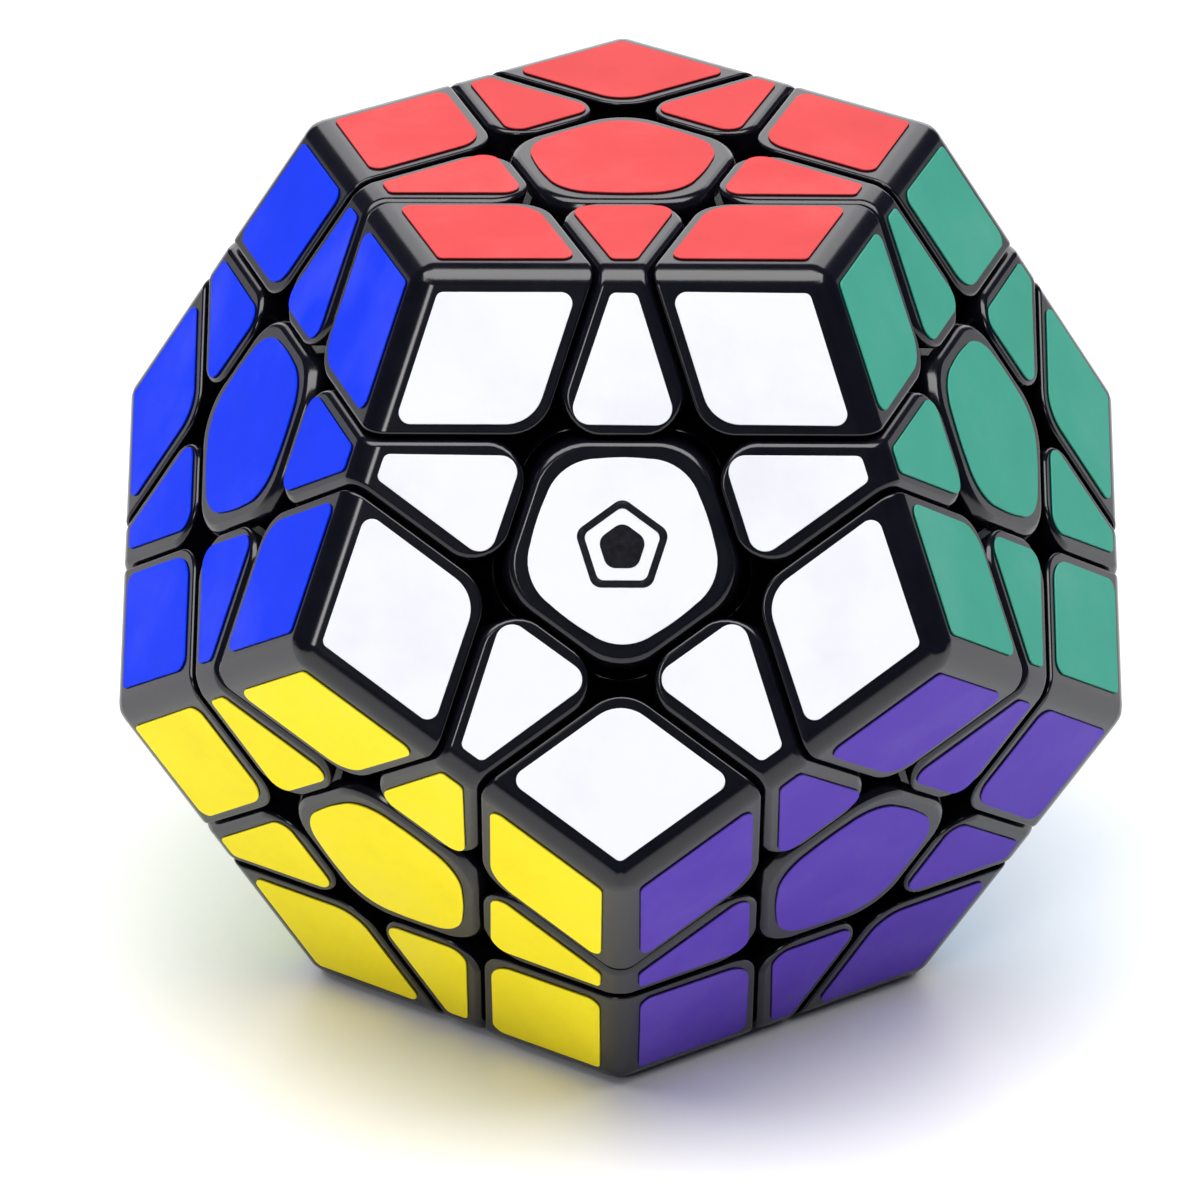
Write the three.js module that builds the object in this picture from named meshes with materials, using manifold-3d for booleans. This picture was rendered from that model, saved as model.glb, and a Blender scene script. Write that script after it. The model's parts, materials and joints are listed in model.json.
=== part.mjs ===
// A dodecahedron twisty puzzle with twelve turning faces: 12 centres, 30 edges and 20 corners around a ball core.
// Each layer is bounded by one surface of revolution about its own face axis: a flat cut on the outside, a narrow
// cone round the necks and a wide cone round the feet. A piece is what its own layers share, less its neighbours'
// layers, so every face can turn on that surface, and each foot is held under the pieces beside it.
// Corners are held by edges, edges by centres, and each centre by a spring and a screw in the core.
// Millimetres. The puzzle stands on a face: +Z is up, -Y is the front, and the origin is the middle of that face.
import * as THREE from "three";
import { ConvexGeometry } from "three/addons/geometries/ConvexGeometry.js";
import { mergeVertices } from "three/addons/utils/BufferGeometryUtils.js";
import Module from "manifold-3d";

const wasm = await Module();
wasm.setup();

// ---- Driving dimensions ----
const EDGE_LENGTH = 30; // of the sharp dodecahedron
const NOSE_WIDTH = 3.3; // of an edge piece, where it crosses the dodecahedron's edge
const PIECE_GAP = 0.4; // between neighbouring pieces
const EDGE_ROUNDING = 2.2; // radius along the dodecahedron's edges and corners
const CORNER_PLAN_RADIUS = 3.9; // of a corner piece's inner corner, seen from outside
const CENTRE_PLAN_RADIUS = 5; // of a centre's five corners
const CORE_RADIUS = 13.6; // the ball
const CORE_CLEARANCE = 0.8; // between the ball and the feet
const FOOT_THICKNESS = 4.4; // from the ball's clearance to the top of the feet
const FOOT_CONE = THREE.MathUtils.degToRad(50); // half angle of a layer's cone round the feet
const NECK_CONE = THREE.MathUtils.degToRad(42); // half angle of a layer's cone round the necks
const CAP_THICKNESS = 2.2; // a centre's cap
const CAP_GAP = 0.3; // between the cap and its base, all round
const CAP_PLUG_DEPTH = 1.6; // of the round plug that holds the cap in its base
const SPRING_WELL_RADIUS = 3.5; // the hole in a centre for its spring
const SEAT_THICKNESS = 1.8; // the floor that the spring presses on, above the feet's top
const SCREW_RADIUS = 1.3;
const SCREW_CLEARANCE = 0.35; // between the screw and the centre that turns on it
const HEAD_RADIUS = 2.9;
const HEAD_THICKNESS = 1.5;
const HEAD_ROOM = 0.8; // between the screw's head and the cap's plug
const WIRE_RADIUS = 0.32; // the spring's wire
const SPRING_GAP = 0.35; // between the spring and what it sits in, on and under
const SPRING_TURNS = 4;

const ROUND_SEGMENTS = 15; // of a layer's surface: a multiple of five, so that all pieces of a kind are alike
const HOLE_SEGMENTS = 16;

// ---- The dodecahedron ----
const PHI = (1 + Math.sqrt(5)) / 2;
const FACE_TO_FACE_ANGLE = Math.atan(2); // between the axes of two faces that share an edge
const FACE_TO_EDGE_ANGLE = FACE_TO_FACE_ANGLE / 2;
const FACE_TO_CORNER_ANGLE = Math.acos(PHI ** 2 / Math.sqrt(3) / Math.sqrt(PHI + 2));
const FACE_DISTANCE = (EDGE_LENGTH * PHI ** 2) / (2 * Math.sqrt(3 - PHI)); // from the centre to a face
const EDGE_DISTANCE = FACE_DISTANCE / Math.cos(FACE_TO_EDGE_ANGLE);
const CORNER_DISTANCE = FACE_DISTANCE / Math.cos(FACE_TO_CORNER_ANGLE);
const FACE_INRADIUS = FACE_DISTANCE * Math.tan(FACE_TO_EDGE_ANGLE);
const REACH = 2 * CORNER_DISTANCE; // further than anything in the puzzle
const RING_TURN = (2 * Math.PI) / 5; // from one neighbour of a face to the next

// The cut lines on a face lie this far from its middle, which makes the edge pieces NOSE_WIDTH wide at the edge.
const CUT_LINE_INRADIUS = (NOSE_WIDTH / 2) * Math.sin(RING_TURN) + FACE_INRADIUS * Math.cos(RING_TURN);
const CUT_DISTANCE =
  FACE_DISTANCE * Math.cos(FACE_TO_FACE_ANGLE) + CUT_LINE_INRADIUS * Math.sin(FACE_TO_FACE_ANGLE);

const FOOT_BOTTOM = CORE_RADIUS + CORE_CLEARANCE;
const FOOT_TOP = FOOT_BOTTOM + FOOT_THICKNESS;
const NECK_TOP = CUT_DISTANCE / Math.cos(NECK_CONE); // where a layer's narrow cone meets its flat cut

// ---- The heights inside a centre, along its axis ----
const SEAT_TOP = FOOT_TOP + SEAT_THICKNESS;
const BASE_TOP = FACE_DISTANCE - CAP_THICKNESS - CAP_GAP;
const PLUG_BOTTOM = FACE_DISTANCE - CAP_THICKNESS - CAP_PLUG_DEPTH;
const HEAD_TOP = PLUG_BOTTOM - HEAD_ROOM;
const HEAD_BOTTOM = HEAD_TOP - HEAD_THICKNESS;

// ---- Materials ----
const blackPlastic = new THREE.MeshStandardMaterial({ color: 0x17161a, roughness: 0.38, metalness: 0 });
const corePlastic = new THREE.MeshStandardMaterial({ color: 0x222226, roughness: 0.5, metalness: 0 });
const springSteel = new THREE.MeshStandardMaterial({ color: 0xb8bcc2, roughness: 0.25, metalness: 1 });

// ---- Faces: each has its sticker's colour for a name, and its outward axis ----
const TILT = Math.PI / 2 - FACE_TO_FACE_ANGLE; // of the side faces' axes from level
function sideAxis(turn, up) {
  const azimuth = THREE.MathUtils.degToRad(turn);
  return new THREE.Vector3(
    Math.cos(TILT) * Math.sin(azimuth),
    -Math.cos(TILT) * Math.cos(azimuth),
    up * Math.sin(TILT),
  );
}
const FACES = [
  { name: "red", axis: new THREE.Vector3(0, 0, 1) },
  { name: "white", axis: sideAxis(0, 1) },
  { name: "green", axis: sideAxis(72, 1) },
  { name: "cream", axis: sideAxis(144, 1) },
  { name: "pink", axis: sideAxis(216, 1) },
  { name: "blue", axis: sideAxis(288, 1) },
  { name: "purple", axis: sideAxis(36, -1) },
  { name: "sky", axis: sideAxis(108, -1) },
  { name: "grey", axis: sideAxis(180, -1) },
  { name: "lime", axis: sideAxis(252, -1) },
  { name: "yellow", axis: sideAxis(324, -1) },
  { name: "orange", axis: new THREE.Vector3(0, 0, -1) },
];
const TURNING = ["white", "sky", "lime"]; // three faces that share no piece, each with its own joint

function areNeighbours(a, b) {
  return Math.abs(a.axis.angleTo(b.axis) - FACE_TO_FACE_ANGLE) < 0.01;
}

// The pieces of each kind, as lists of the faces that they show. A corner's three run the same way round.
function facePairs() {
  return FACES.flatMap((a, i) =>
    FACES.slice(i + 1)
      .filter((b) => areNeighbours(a, b))
      .map((b) => [a, b]),
  );
}
function faceTriples() {
  return facePairs().flatMap(([a, b]) =>
    FACES.slice(FACES.indexOf(b) + 1)
      .filter((c) => areNeighbours(a, c) && areNeighbours(b, c))
      .map((c) => (new THREE.Vector3().crossVectors(a.axis, b.axis).dot(c.axis) > 0 ? [a, b, c] : [a, c, b])),
  );
}

// The turn that carries a piece made on the top face, towards its front neighbour, to face a, towards face b.
function facingBasis(axis, towards) {
  const x = towards.clone().addScaledVector(axis, -towards.dot(axis)).normalize();
  return new THREE.Matrix4().makeBasis(x, new THREE.Vector3().crossVectors(axis, x), axis);
}
const [TOP, FRONT, RIGHT] = FACES.map((f) => f.axis);
const homeInverse = facingBasis(TOP, FRONT).invert();
function turnTo(a, b) {
  return new THREE.Quaternion().setFromRotationMatrix(facingBasis(a.axis, b.axis).multiply(homeInverse));
}

// ---- Solids ----
function solidOf(geometry) {
  const bare = geometry.clone();
  bare.deleteAttribute("normal");
  bare.deleteAttribute("uv");
  const merged = mergeVertices(bare, 1e-4);
  return new wasm.Manifold(
    new wasm.Mesh({
      numProp: 3,
      vertProperties: merged.attributes.position.array,
      triVerts: new Uint32Array(merged.index.array),
    }),
  );
}
function geometryOf(solid) {
  const mesh = solid.getMesh();
  return new THREE.BufferGeometry()
    .setAttribute("position", new THREE.BufferAttribute(mesh.vertProperties, 3))
    .setIndex(new THREE.BufferAttribute(mesh.triVerts, 1));
}
function turned(geometry, quaternion) {
  return geometry.clone().applyQuaternion(quaternion);
}

// Everything further than distance along axis: a block with one face there.
function beyond(axis, distance) {
  const block = new THREE.BoxGeometry(2 * REACH, 2 * REACH, 2 * REACH).translate(0, 0, REACH + distance);
  const upright = new THREE.Quaternion().setFromUnitVectors(new THREE.Vector3(0, 0, 1), axis);
  return solidOf(block.applyQuaternion(upright));
}
// A round solid about the z axis between two heights.
function roundBar(radius, low, high) {
  const bar = new THREE.CylinderGeometry(radius, radius, high - low, HOLE_SEGMENTS);
  return bar.rotateX(Math.PI / 2).translate(0, 0, (low + high) / 2);
}

// Where two lines in a layer's profile meet. A line is {angle from the axis, through: a point on it}.
function meet(a, b) {
  const across = Math.sin(b.angle - a.angle);
  const gap = new THREE.Vector2().subVectors(b.through, a.through);
  const along = (gap.x * Math.cos(b.angle) - gap.y * Math.sin(b.angle)) / -across;
  return new THREE.Vector2(
    a.through.x + along * Math.sin(a.angle),
    a.through.y + along * Math.cos(a.angle),
  );
}
// A layer's solid about the z axis, grown by margin: negative for the pieces in it, positive to cut its neighbours.
function layer(margin) {
  const coneLine = (angle) => ({
    angle,
    through: new THREE.Vector2(margin * Math.cos(angle), -margin * Math.sin(angle)),
  });
  const footTop = FOOT_TOP + margin;
  const stepAngle = (FOOT_CONE + NECK_CONE) / 2;
  const axisLine = { angle: 0, through: new THREE.Vector2(0, 0) };
  const stepLine = {
    angle: stepAngle - Math.PI / 2,
    through: new THREE.Vector2(footTop * Math.sin(stepAngle), footTop * Math.cos(stepAngle)),
  };
  const cutLine = { angle: Math.PI / 2, through: new THREE.Vector2(0, CUT_DISTANCE - margin) };
  const lines = [axisLine, coneLine(FOOT_CONE), stepLine, coneLine(NECK_CONE), cutLine];
  const profile = lines.slice(1).map((line, i) => meet(lines[i], line));
  profile[0].x = 0;
  profile.push(new THREE.Vector2(REACH, CUT_DISTANCE - margin));
  profile.push(new THREE.Vector2(REACH, REACH));
  profile.push(new THREE.Vector2(0, REACH));
  // A cutter's flats are set outside the true cone and a piece's inside it, so that the flats clear each other.
  const spread = margin > 0 ? 1 / Math.cos(Math.PI / ROUND_SEGMENTS) : 1;
  const lathe = new THREE.LatheGeometry(profile, ROUND_SEGMENTS);
  return lathe.rotateX(Math.PI / 2).rotateZ(Math.PI / ROUND_SEGMENTS).scale(spread, spread, 1);
}
const insideLayer = layer(-PIECE_GAP / 2);
const layerCutter = layer(PIECE_GAP / 2);
// The middle of one of the layer's flats points at each neighbouring face.
function standing(geometry, face) {
  const neighbour = FACES.find((f) => areNeighbours(face, f));
  return solidOf(turned(geometry, turnTo(face, neighbour)));
}

// The outside: a dodecahedron, with a flat in place of each rounded edge and corner.
function roundedOff(distance, halfAngle) {
  return distance - EDGE_ROUNDING * (1 / Math.cos(halfAngle) - 1);
}
function outside() {
  const faceBlock = FACES.map((f) => beyond(f.axis, FACE_DISTANCE)).reduce((all, b) => all.add(b));
  const flat = roundedOff(EDGE_DISTANCE, FACE_TO_EDGE_ANGLE);
  const point = roundedOff(CORNER_DISTANCE, FACE_TO_CORNER_ANGLE);
  const edgeAxes = facePairs().map(([a, b]) => a.axis.clone().add(b.axis).normalize());
  const cornerAxes = faceTriples().map(([a, b, c]) => a.axis.clone().add(b.axis).add(c.axis).normalize());
  // Thirty planes at one distance enclose a solid with a point over each face and each corner.
  const edgeToCorner = edgeAxes[0].angleTo(cornerAxes[0]);
  const edgeSolid = solidOf(
    new ConvexGeometry([
      ...FACES.map((f) => f.axis.clone().multiplyScalar(flat / Math.cos(FACE_TO_EDGE_ANGLE))),
      ...cornerAxes.map((axis) => axis.clone().multiplyScalar(flat / Math.cos(edgeToCorner))),
    ]),
  );
  const cornerSolid = solidOf(
    new ConvexGeometry(FACES.map((f) => f.axis.clone().multiplyScalar(point / Math.cos(FACE_TO_CORNER_ANGLE)))),
  );
  return edgeSolid.intersect(cornerSolid).subtract(faceBlock);
}
const outsideSolid = outside();

// What to cut off a piece so that the edge between two of its cut planes is as wide as a round of this radius.
// outA and outB point out of the piece; the cut stops short of the neck, along the piece's own axis.
function planRounding(axis, outA, distanceA, outB, distanceB, radius) {
  const out = outA.clone().add(outB).normalize();
  const half = outA.angleTo(outB) / 2;
  const sharp = (distanceA + distanceB) / (2 * Math.cos(half));
  return beyond(out, sharp - radius * (1 / Math.cos(half) - 1)).intersect(beyond(axis, NECK_TOP));
}
const PIECE_CUT = CUT_DISTANCE + PIECE_GAP / 2; // a piece's own side of its layers' cuts
const NEIGHBOUR_CUT = CUT_DISTANCE - PIECE_GAP / 2; // and its side of its neighbours' cuts

function cornerPiece() {
  const faces = FACES.slice(0, 3); // top, front and right
  const axis = TOP.clone().add(FRONT).add(RIGHT).normalize();
  const rounding = faces.map((face) => {
    const [a, b] = faces.filter((f) => f !== face).map((f) => f.axis.clone().negate());
    return planRounding(axis, a, -PIECE_CUT, b, -PIECE_CUT, CORNER_PLAN_RADIUS);
  });
  return faces
    .map((face) => standing(insideLayer, face))
    .reduce((all, s) => all.intersect(s), outsideSolid)
    .intersect(beyond(axis, FOOT_BOTTOM))
    .subtract(rounding.reduce((all, r) => all.add(r)));
}

function edgePiece() {
  const faces = FACES.slice(0, 2); // top and front
  const ends = FACES.filter((f) => faces.every((face) => areNeighbours(f, face)));
  const axis = TOP.clone().add(FRONT).normalize();
  return faces
    .map((face) => standing(insideLayer, face))
    .reduce((all, s) => all.intersect(s), outsideSolid)
    .intersect(beyond(axis, FOOT_BOTTOM))
    .subtract(ends.map((end) => standing(layerCutter, end)).reduce((all, s) => all.add(s)));
}

// A centre with no hole in it, as high as the face.
function centreBlank() {
  const around = FACES.filter((f) => areNeighbours(FACES[0], f));
  const rounding = around.flatMap((a, i) =>
    around
      .slice(i + 1)
      .filter((b) => areNeighbours(a, b))
      .map((b) => planRounding(TOP, a.axis, NEIGHBOUR_CUT, b.axis, NEIGHBOUR_CUT, CENTRE_PLAN_RADIUS)),
  );
  return standing(insideLayer, FACES[0])
    .intersect(outsideSolid)
    .subtract([...around.map((f) => standing(layerCutter, f)), ...rounding].reduce((all, s) => all.add(s)));
}
function centreBase(blank) {
  const well = solidOf(roundBar(SPRING_WELL_RADIUS, SEAT_TOP, REACH));
  const screwHole = solidOf(roundBar(SCREW_RADIUS + SCREW_CLEARANCE, 0, REACH));
  return blank.intersect(beyond(TOP, FOOT_BOTTOM)).subtract(beyond(TOP, BASE_TOP)).subtract(well).subtract(screwHole);
}
function centreCap(blank) {
  const plate = blank.intersect(beyond(TOP, FACE_DISTANCE - CAP_THICKNESS));
  const plug = roundBar(SPRING_WELL_RADIUS - CAP_GAP, PLUG_BOTTOM, FACE_DISTANCE - CAP_THICKNESS / 2);
  return plate.add(solidOf(plug));
}

// A screw stands in the core under each centre that turns. The nine other centres are one with the core.
function screw() {
  return solidOf(roundBar(SCREW_RADIUS, CORE_RADIUS / 2, HEAD_BOTTOM + HEAD_THICKNESS / 2)).add(
    solidOf(roundBar(HEAD_RADIUS, HEAD_BOTTOM, HEAD_TOP)),
  );
}
function core(blank) {
  const ball = solidOf(new THREE.IcosahedronGeometry(CORE_RADIUS, 3));
  const standingStill = geometryOf(blank.intersect(beyond(TOP, CORE_RADIUS / 2)));
  const screwShape = geometryOf(screw());
  return FACES.map((face) => standing(TURNING.includes(face.name) ? screwShape : standingStill, face)).reduce(
    (all, s) => all.add(s),
    ball,
  );
}

class Helix extends THREE.Curve {
  constructor(radius, low, high, turns) {
    super();
    Object.assign(this, { radius, low, high, turns });
  }
  getPoint(t, target = new THREE.Vector3()) {
    const angle = t * this.turns * 2 * Math.PI;
    return target.set(
      this.radius * Math.cos(angle),
      this.radius * Math.sin(angle),
      THREE.MathUtils.lerp(this.low, this.high, t),
    );
  }
}
function spring() {
  const stepsPerTurn = 8;
  const wireSides = 5;
  const wire = new THREE.Shape(new THREE.EllipseCurve(0, 0, WIRE_RADIUS, WIRE_RADIUS).getPoints(wireSides).slice(1));
  const path = new Helix(
    SPRING_WELL_RADIUS - SPRING_GAP - WIRE_RADIUS,
    SEAT_TOP + SPRING_GAP + WIRE_RADIUS,
    HEAD_BOTTOM - SPRING_GAP - WIRE_RADIUS,
    SPRING_TURNS,
  );
  return new THREE.ExtrudeGeometry(wire, {
    steps: SPRING_TURNS * stepsPerTurn,
    bevelEnabled: false,
    extrudePath: path,
  });
}

// ---- The assembly: the core, then each piece in the group of the layer that it turns with ----
const puzzle = new THREE.Group();
puzzle.position.z = FACE_DISTANCE;
const layerGroups = new Map(TURNING.map((name) => [name, new THREE.Group()]));
const stillGroup = new THREE.Group();
puzzle.add(stillGroup, ...layerGroups.values());

function place(kind, faces, geometry, material = blackPlastic) {
  const mesh = new THREE.Mesh(geometry, material);
  mesh.name = [kind, ...faces.map((f) => f.name)].join("_");
  const towards = faces[1] ?? FACES.find((f) => areNeighbours(faces[0], f));
  mesh.quaternion.copy(turnTo(faces[0], towards));
  const turning = faces.find((f) => TURNING.includes(f.name));
  (turning ? layerGroups.get(turning.name) : stillGroup).add(mesh);
}

const blank = centreBlank();
const coreMesh = new THREE.Mesh(geometryOf(core(blank)), corePlastic);
coreMesh.name = "core_with_screws_and_nine_centres";
stillGroup.add(coreMesh);

const baseGeometry = geometryOf(centreBase(blank));
const capGeometry = geometryOf(centreCap(blank));
const springGeometry = spring();
for (const face of FACES.filter((f) => TURNING.includes(f.name))) {
  place("centre", [face], baseGeometry);
  place("cap", [face], capGeometry);
  place("spring", [face], springGeometry, springSteel);
}
const edgeGeometry = geometryOf(edgePiece());
facePairs().forEach((faces) => place("edge", faces, edgeGeometry));
const cornerGeometry = geometryOf(cornerPiece());
faceTriples().forEach((faces) => place("corner", faces, cornerGeometry));

export default puzzle;
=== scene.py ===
"""Looks of a dodecahedron twisty puzzle: moulded pieces, stickers and the works inside, on a floor.

Each sub-assembly is a class that builds one home copy of its shape about the puzzle's centre, and
then places a copy of it for each of the puzzle's faces, edges or corners. Lengths are in metres.
"""

import itertools
import json
import logging
import math
import random
from dataclasses import dataclass, field
from enum import Enum
from typing import Iterable, Sequence

import bmesh
import bpy
import numpy as np
from mathutils import Matrix, Vector


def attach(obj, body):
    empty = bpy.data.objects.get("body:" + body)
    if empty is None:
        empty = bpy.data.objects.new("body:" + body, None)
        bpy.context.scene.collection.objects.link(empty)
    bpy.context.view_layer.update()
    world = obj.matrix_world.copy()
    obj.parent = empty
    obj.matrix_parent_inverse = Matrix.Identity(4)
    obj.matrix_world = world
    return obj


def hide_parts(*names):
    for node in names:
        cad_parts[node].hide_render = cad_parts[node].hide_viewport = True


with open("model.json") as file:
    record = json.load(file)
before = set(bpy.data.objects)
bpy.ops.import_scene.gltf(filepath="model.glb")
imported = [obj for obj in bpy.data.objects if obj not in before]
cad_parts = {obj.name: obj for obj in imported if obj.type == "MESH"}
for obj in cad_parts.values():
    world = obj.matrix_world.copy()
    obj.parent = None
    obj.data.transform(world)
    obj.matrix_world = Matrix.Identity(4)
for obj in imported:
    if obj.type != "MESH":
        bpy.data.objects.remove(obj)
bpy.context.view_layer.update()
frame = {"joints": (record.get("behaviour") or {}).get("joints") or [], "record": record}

LOG = logging.getLogger("twisty_puzzle")

MM = 0.001
ON_PLANE = 1e-7  # how far past a plane a solid's corner may lie
ONE_POINT = 1e-6  # points closer than this are one
PARALLEL = 1e-6  # three planes whose normals span less than this meet in no point
SLIVER = 6e-7  # an edge shorter than this, left by a cut, is closed up
FLOOR_GAP = 0.02 * MM  # keeps the lowest stickers from lying in the floor's own plane

Socket = bpy.types.NodeSocket
Mesh = bpy.types.Mesh
Material = bpy.types.Material
Piece = bpy.types.Object
Solid = bmesh.types.BMesh
Triple = tuple[float, float, float]
Colour = Triple  # linear red, green and blue
Profile = Sequence[tuple[float, float]]  # (radius, height) points
Loop = Sequence[bmesh.types.BMVert]  # the points of a closed ring


# ---- The puzzle's geometry ----


class Kind(Enum):
    """The three kinds of piece that show."""

    CENTRE = "centre"
    EDGE = "edge"
    CORNER = "corner"


class Ring(Enum):
    """Where a face lies: on top, in the upper or lower ring of five, or underneath."""

    TOP = 1
    UPPER = 2
    LOWER = 3
    BOTTOM = 4


class Step(Enum):
    """What a tool does to the solid that it meets, with Blender's word for it."""

    ADD = "UNION"
    TAKE = "DIFFERENCE"
    KEEP = "INTERSECT"


@dataclass(frozen=True)
class Plane:
    """A half space: the points no further than distance along normal."""

    normal: Vector
    distance: float


@dataclass(frozen=True)
class Dodecahedron:
    """The sharp solid that the puzzle is cut from. Its faces are known by their stickers' colours."""

    centre: Vector
    face_distance: float
    axes: dict[str, Vector]

    FACE_ANGLE = math.atan(2)  # between the axes of neighbouring faces
    RING_TURN = math.tau / 5
    SAME_ANGLE = 0.01
    HOME = ("red", "white", "green")  # the faces that home copies are made on

    @classmethod
    def from_frame(cls) -> "Dodecahedron":
        """Reads the puzzle's centre from its joints.

        It stands on a face, so the centre's height is also its face distance.

        Returns:
            The dodecahedron, with white in front and red on top.
        """
        centre = Vector(frame["joints"][0]["pos_m"])
        places = {
            "red": (Ring.TOP, 0),
            "white": (Ring.UPPER, 0),
            "green": (Ring.UPPER, 72),
            "cream": (Ring.UPPER, 144),
            "pink": (Ring.UPPER, 216),
            "blue": (Ring.UPPER, 288),
            "purple": (Ring.LOWER, 36),
            "sky": (Ring.LOWER, 108),
            "grey": (Ring.LOWER, 180),
            "lime": (Ring.LOWER, 252),
            "yellow": (Ring.LOWER, 324),
            "orange": (Ring.BOTTOM, 0),
        }
        axes = {name: cls.axis_at(ring, turn) for name, (ring, turn) in places.items()}
        return cls(centre, centre.z, axes)

    @classmethod
    def axis_at(cls, ring: Ring, turn: float) -> Vector:
        """The outward axis of a face.

        Args:
            ring: The ring that the face is in.
            turn: Its place round the ring, in degrees from the front towards the right.

        Returns:
            A unit vector.
        """
        if ring in (Ring.TOP, Ring.BOTTOM):
            return Vector((0, 0, 1 if ring is Ring.TOP else -1))
        up = 1 if ring is Ring.UPPER else -1
        azimuth = math.radians(turn)
        level, height = math.sin(cls.FACE_ANGLE), up * math.cos(cls.FACE_ANGLE)
        return Vector((level * math.sin(azimuth), -level * math.cos(azimuth), height))

    @property
    def face_inradius(self) -> float:
        """From a face's middle to its sides."""
        return self.face_distance * math.tan(self.FACE_ANGLE / 2)

    def neighbours(self, face: str) -> list[str]:
        """The five faces that share an edge with a face."""
        angles = {name: self.axes[face].angle(other) for name, other in self.axes.items()}
        return [name for name, angle in angles.items() if abs(angle - self.FACE_ANGLE) < self.SAME_ANGLE]

    def facing(self, face: str, towards: str) -> Matrix:
        """The turn whose Z is a face's axis and whose X points over the face towards a neighbour.

        Args:
            face: The face's name.
            towards: The neighbour's name.

        Returns:
            A 3 by 3 rotation.
        """
        axis = self.axes[face]
        along = self.axes[towards] - axis * self.axes[towards].dot(axis)
        along.normalize()
        return Matrix((along, axis.cross(along), axis)).transposed()

    def placing(self, face: str, towards: str) -> Matrix:
        """The move that carries a home copy, made about the origin, to its place in the puzzle.

        Args:
            face: The face that stands for the home copy's first face.
            towards: The neighbour that stands for its second.

        Returns:
            A 4 by 4 matrix.
        """
        home = self.facing(*self.HOME[:2])
        turn = self.facing(face, towards) @ home.transposed()
        return Matrix.Translation(self.centre) @ turn.to_4x4()

    def upright(self, face: str) -> Matrix:
        """The 4 by 4 turn that carries the Z axis onto a face's axis."""
        return self.facing(face, self.neighbours(face)[0]).to_4x4()

    def on_face(self, face: str, towards: str) -> Matrix:
        """The move that lays a flat thing, drawn in XY, on a face with its X towards a neighbour."""
        seat = self.centre + self.axes[face] * self.face_distance
        return Matrix.Translation(seat) @ self.facing(face, towards).to_4x4()


@dataclass(frozen=True)
class Cuts:
    """Where the puzzle is cut, and how its pieces are rounded."""

    solid: Dodecahedron
    nose_width: float = 3.3 * MM  # of an edge piece, where it crosses the dodecahedron's edge
    gap: float = 0.4 * MM
    foot_cone: float = math.radians(50)
    neck_cone: float = math.radians(42)
    core_radius: float = 13.6 * MM
    core_clearance: float = 0.8 * MM
    foot_thickness: float = 4.4 * MM
    cap_thickness: float = 2.2 * MM
    cap_gap: float = 0.3 * MM
    seat_top: float = 20.6 * MM  # the height at which a spring stands in its well
    well_radius: float = 3.5 * MM

    @property
    def line_inradius(self) -> float:
        """From a face's middle to the cut lines on it."""
        turn = self.solid.RING_TURN
        return self.nose_width / 2 * math.sin(turn) + self.solid.face_inradius * math.cos(turn)

    @property
    def distance(self) -> float:
        """From the puzzle's centre to a layer's flat cut."""
        angle = self.solid.FACE_ANGLE
        return self.solid.face_distance * math.cos(angle) + self.line_inradius * math.sin(angle)

    @property
    def half_gap_on_face(self) -> float:
        """Half the gap between two pieces, measured over a face, which the cuts meet at a slant."""
        return self.gap / 2 / math.sin(self.solid.FACE_ANGLE)

    @property
    def foot_bottom(self) -> float:
        """The radius of the ball that the feet run on."""
        return self.core_radius + self.core_clearance

    @property
    def foot_top(self) -> float:
        """The radius at which feet give way to necks."""
        return self.foot_bottom + self.foot_thickness

    @property
    def neck_top(self) -> float:
        """The distance from the centre at which a layer's narrow cone meets its flat cut."""
        return self.distance / math.cos(self.neck_cone)

    def outside(self, face: str) -> Plane:
        """The half space inside a face of the dodecahedron."""
        return Plane(self.solid.axes[face], self.solid.face_distance)

    def within(self, face: str) -> Plane:
        """The half space that a piece of a face's layer keeps to."""
        return Plane(-self.solid.axes[face], -(self.distance + self.gap / 2))

    def beside(self, face: str) -> Plane:
        """The half space that a piece outside a face's layer keeps to."""
        return Plane(self.solid.axes[face].copy(), self.distance - self.gap / 2)


# ---- Mesh tools ----


def rounding(a: Plane, b: Plane, radius: float, strips: int) -> list[Plane]:
    """Planes that touch a round between two planes.

    Args:
        a: One plane.
        b: The other.
        radius: The round's radius.
        strips: How many planes to make.

    Returns:
        The planes, evenly turned from a to b.
    """
    lean = a.normal.dot(b.normal)
    inside_a, inside_b = a.distance - radius, b.distance - radius
    along_a = (inside_a - lean * inside_b) / (1 - lean**2)
    along_b = (inside_b - lean * inside_a) / (1 - lean**2)
    axis_point = a.normal * along_a + b.normal * along_b
    normals = [a.normal.slerp(b.normal, (i + 0.5) / strips) for i in range(strips)]
    return [Plane(n, n.dot(axis_point) + radius) for n in normals]


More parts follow.
